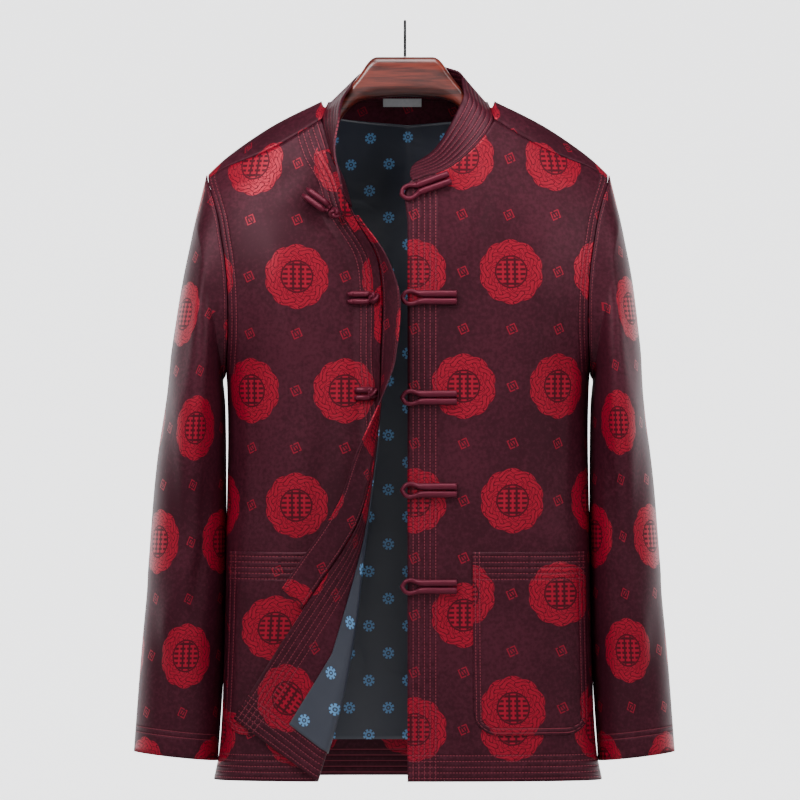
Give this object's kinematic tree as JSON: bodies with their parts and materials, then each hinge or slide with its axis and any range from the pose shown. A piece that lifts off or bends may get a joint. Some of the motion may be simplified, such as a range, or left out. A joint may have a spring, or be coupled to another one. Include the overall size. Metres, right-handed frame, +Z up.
{
  "type": "tang jacket",
  "caption": "Men's jacket with a standing band collar, knotted frog fastenings, set-in sleeves and patch pockets, hanging open at one front on its wooden hanger",
  "frame": {"origin": "the underside of the hook's top, where it rests on what it hangs from", "axes": "+Z up, -Y towards the jacket's front, +X towards the viewer's right (the wearer's left)"},
  "size_m": [0.59, 0.2224, 0.8274],
  "materials": {
    "shell_satin": "dark burgundy satin jacquard with crimson round medallions",
    "lining_satin": "dark navy-grey satin with small light-blue ring motifs",
    "label_tape": "plain grey woven tape, blank",
    "frog_cord": "tubes of the shell satin, stitched in pairs",
    "hanger_wood": "glossy mahogany-coloured wood",
    "hook_wire": "black wire"
  },
  "bodies": {
    "root": {"front_left": "shell_satin", "front_right": "shell_satin", "back": "shell_satin", "facing_right": "shell_satin", "lining_front_right": "lining_satin", "lining_back": "lining_satin", "underlap_right": "shell_satin", "sleeve_left": "shell_satin", "sleeve_right": "shell_satin", "collar": "shell_satin", "pocket_left": "shell_satin", "pocket_right": "shell_satin", "neck_label": "label_tape", "frog_loop_1": "frog_cord", "frog_loop_2": "frog_cord", "frog_loop_3": "frog_cord", "frog_loop_4": "frog_cord", "frog_loop_5": "frog_cord", "frog_knot_1": "frog_cord", "frog_knot_2": "frog_cord", "frog_knot_3": "frog_cord", "frog_knot_4": "frog_cord", "frog_knot_5": "frog_cord", "hanger_body": "hanger_wood", "hanger_hook": "hook_wire"}
  },
  "joints": []
}
